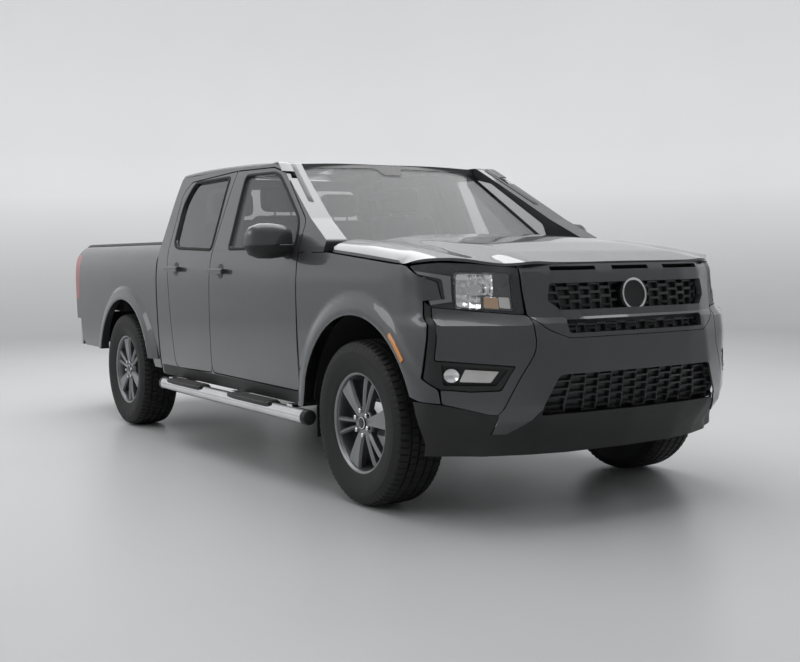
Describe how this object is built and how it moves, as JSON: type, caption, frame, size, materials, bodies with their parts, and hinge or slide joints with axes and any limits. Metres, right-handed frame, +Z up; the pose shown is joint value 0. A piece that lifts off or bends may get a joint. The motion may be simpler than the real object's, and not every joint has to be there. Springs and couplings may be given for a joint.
{
  "type": "pickup truck",
  "caption": "Double-cab pickup truck with opening doors, hood and tailgate, steered front wheels, an open load bed and a tow receiver.",
  "frame": {"origin": "on the ground, under the middle of the overall length and width", "axes": "+X forward along the truck, +Y to its left, +Z up"},
  "size_m": [5.338, 2.17, 1.7219],
  "materials": {
    "body_paint": "metallic gloss paint, dark grey",
    "bed_paint": "plain paint, dark grey",
    "frame_black": "satin black paint",
    "cast_metal": "as cast",
    "exhaust_steel": "dull",
    "bright_metal": "polished",
    "wheel_alloy": "satin dark grey paint on alloy",
    "tyre_rubber": "black rubber",
    "black_rubber": "matte",
    "black_plastic": "grained black",
    "interior_dark": "soft grained",
    "seat_fabric": "woven",
    "clear_glass": "clear with a faint tint",
    "dark_glass": "dark tinted",
    "lamp_clear": "clear cover over a bright reflector",
    "lamp_red": "red lens"
  },
  "bodies": {
    "truck": {"chassis_frame": "frame_black", "powertrain": "cast_metal", "exhaust": "exhaust_steel", "front_suspension": "frame_black", "rear_axle": "frame_black", "fuel_tank": "black_plastic", "spare_wheel": "tyre_rubber", "cab_body": "body_paint", "cab_floor": "interior_dark", "roof_panel": "body_paint", "fixed_glass": "clear_glass", "grille_surround": "body_paint", "grille_mesh": "black_plastic", "headlamps": "lamp_clear", "fog_lamps": "lamp_clear", "front_bumper": "body_paint", "front_valance": "black_plastic", "front_fenders": "body_paint", "engine_bay": "frame_black", "radiator": "black_plastic", "cowl_panel": "black_plastic", "dashboard": "interior_dark", "seats": "seat_fabric", "steering_column": "interior_dark", "bed_sides": "body_paint", "bed_tub": "bed_paint", "tail_lamps": "lamp_red", "rear_bumper": "bright_metal", "arch_liners": "black_plastic", "mud_flaps": "black_rubber", "step_bars": "bright_metal"},
    "hood": {"hood": "body_paint"},
    "tailgate": {"tailgate": "body_paint"},
    "steering_wheel": {"steering_wheel": "interior_dark"},
    "wheel_front_left": {"tyre_front_left": "tyre_rubber", "rim_front_left": "wheel_alloy"},
    "front_door_left": {"front_door_left": "body_paint", "front_door_glass_left": "clear_glass", "mirror_left": "body_paint"},
    "wheel_rear_left": {"tyre_rear_left": "tyre_rubber", "rim_rear_left": "wheel_alloy"},
    "rear_door_left": {"rear_door_left": "body_paint", "rear_door_glass_left": "dark_glass"},
    "knuckle_left": {"knuckle_left": "cast_metal"},
    "wheel_front_right": {"tyre_front_right": "tyre_rubber", "rim_front_right": "wheel_alloy"},
    "front_door_right": {"front_door_right": "body_paint", "front_door_glass_right": "clear_glass", "mirror_right": "body_paint"},
    "wheel_rear_right": {"tyre_rear_right": "tyre_rubber", "rim_rear_right": "wheel_alloy"},
    "rear_door_right": {"rear_door_right": "body_paint", "rear_door_glass_right": "dark_glass"},
    "knuckle_right": {"knuckle_right": "cast_metal"}
  },
  "joints": [
    {"name": "steer_right", "type": "hinge", "parent": "truck", "child": "knuckle_right", "pos_m": [1.76, -0.715, 0.385], "axis": [0, 0, 1], "range_deg": [-33, 33]},
    {"name": "steer_left", "type": "hinge", "parent": "truck", "child": "knuckle_left", "pos_m": [1.76, 0.715, 0.385], "axis": [0, 0, 1], "range_deg": [-33, 33]},
    {"name": "steering_wheel_turn", "type": "hinge", "parent": "truck", "child": "steering_wheel", "pos_m": [0.8, 0.4, 1.075], "axis": [0.8988, 0, -0.4384], "range_deg": [-561, 561]},
    {"name": "wheel_spin_front_left", "type": "hinge", "parent": "knuckle_left", "child": "wheel_front_left", "pos_m": [1.76, 0.785, 0.385], "axis": [0, 1, 0], "continuous": true},
    {"name": "wheel_spin_rear_left", "type": "hinge", "parent": "truck", "child": "wheel_rear_left", "pos_m": [-1.44, 0.785, 0.385], "axis": [0, 1, 0], "continuous": true},
    {"name": "front_door_open_left", "type": "hinge", "parent": "truck", "child": "front_door_left", "pos_m": [1.11, 0.88975, 0.9], "axis": [0, 0, -1], "range_deg": [0, 65]},
    {"name": "rear_door_open_left", "type": "hinge", "parent": "truck", "child": "rear_door_left", "pos_m": [0.0155, 0.88975, 0.9], "axis": [0, 0, -1], "range_deg": [0, 65]},
    {"name": "wheel_spin_front_right", "type": "hinge", "parent": "knuckle_right", "child": "wheel_front_right", "pos_m": [1.76, -0.785, 0.385], "axis": [0, 1, 0], "continuous": true},
    {"name": "wheel_spin_rear_right", "type": "hinge", "parent": "truck", "child": "wheel_rear_right", "pos_m": [-1.44, -0.785, 0.385], "axis": [0, 1, 0], "continuous": true},
    {"name": "front_door_open_right", "type": "hinge", "parent": "truck", "child": "front_door_right", "pos_m": [1.11, -0.88975, 0.9], "axis": [0, 0, 1], "range_deg": [0, 65]},
    {"name": "rear_door_open_right", "type": "hinge", "parent": "truck", "child": "rear_door_right", "pos_m": [0.0155, -0.88975, 0.9], "axis": [0, 0, 1], "range_deg": [0, 65]},
    {"name": "hood_open", "type": "hinge", "parent": "truck", "child": "hood", "pos_m": [1.47, 0, 1.185], "axis": [0, -1, 0], "range_deg": [0, 50]},
    {"name": "tailgate_drop", "type": "hinge", "parent": "truck", "child": "tailgate", "pos_m": [-2.518, 0, 0.762], "axis": [0, -1, 0], "range_deg": [0, 90]}
  ],
  "couplings": [
    {"joint": "steer_left", "follows": "steer_right", "ratio": 1},
    {"joint": "steering_wheel_turn", "follows": "steer_right", "ratio": -17}
  ]
}
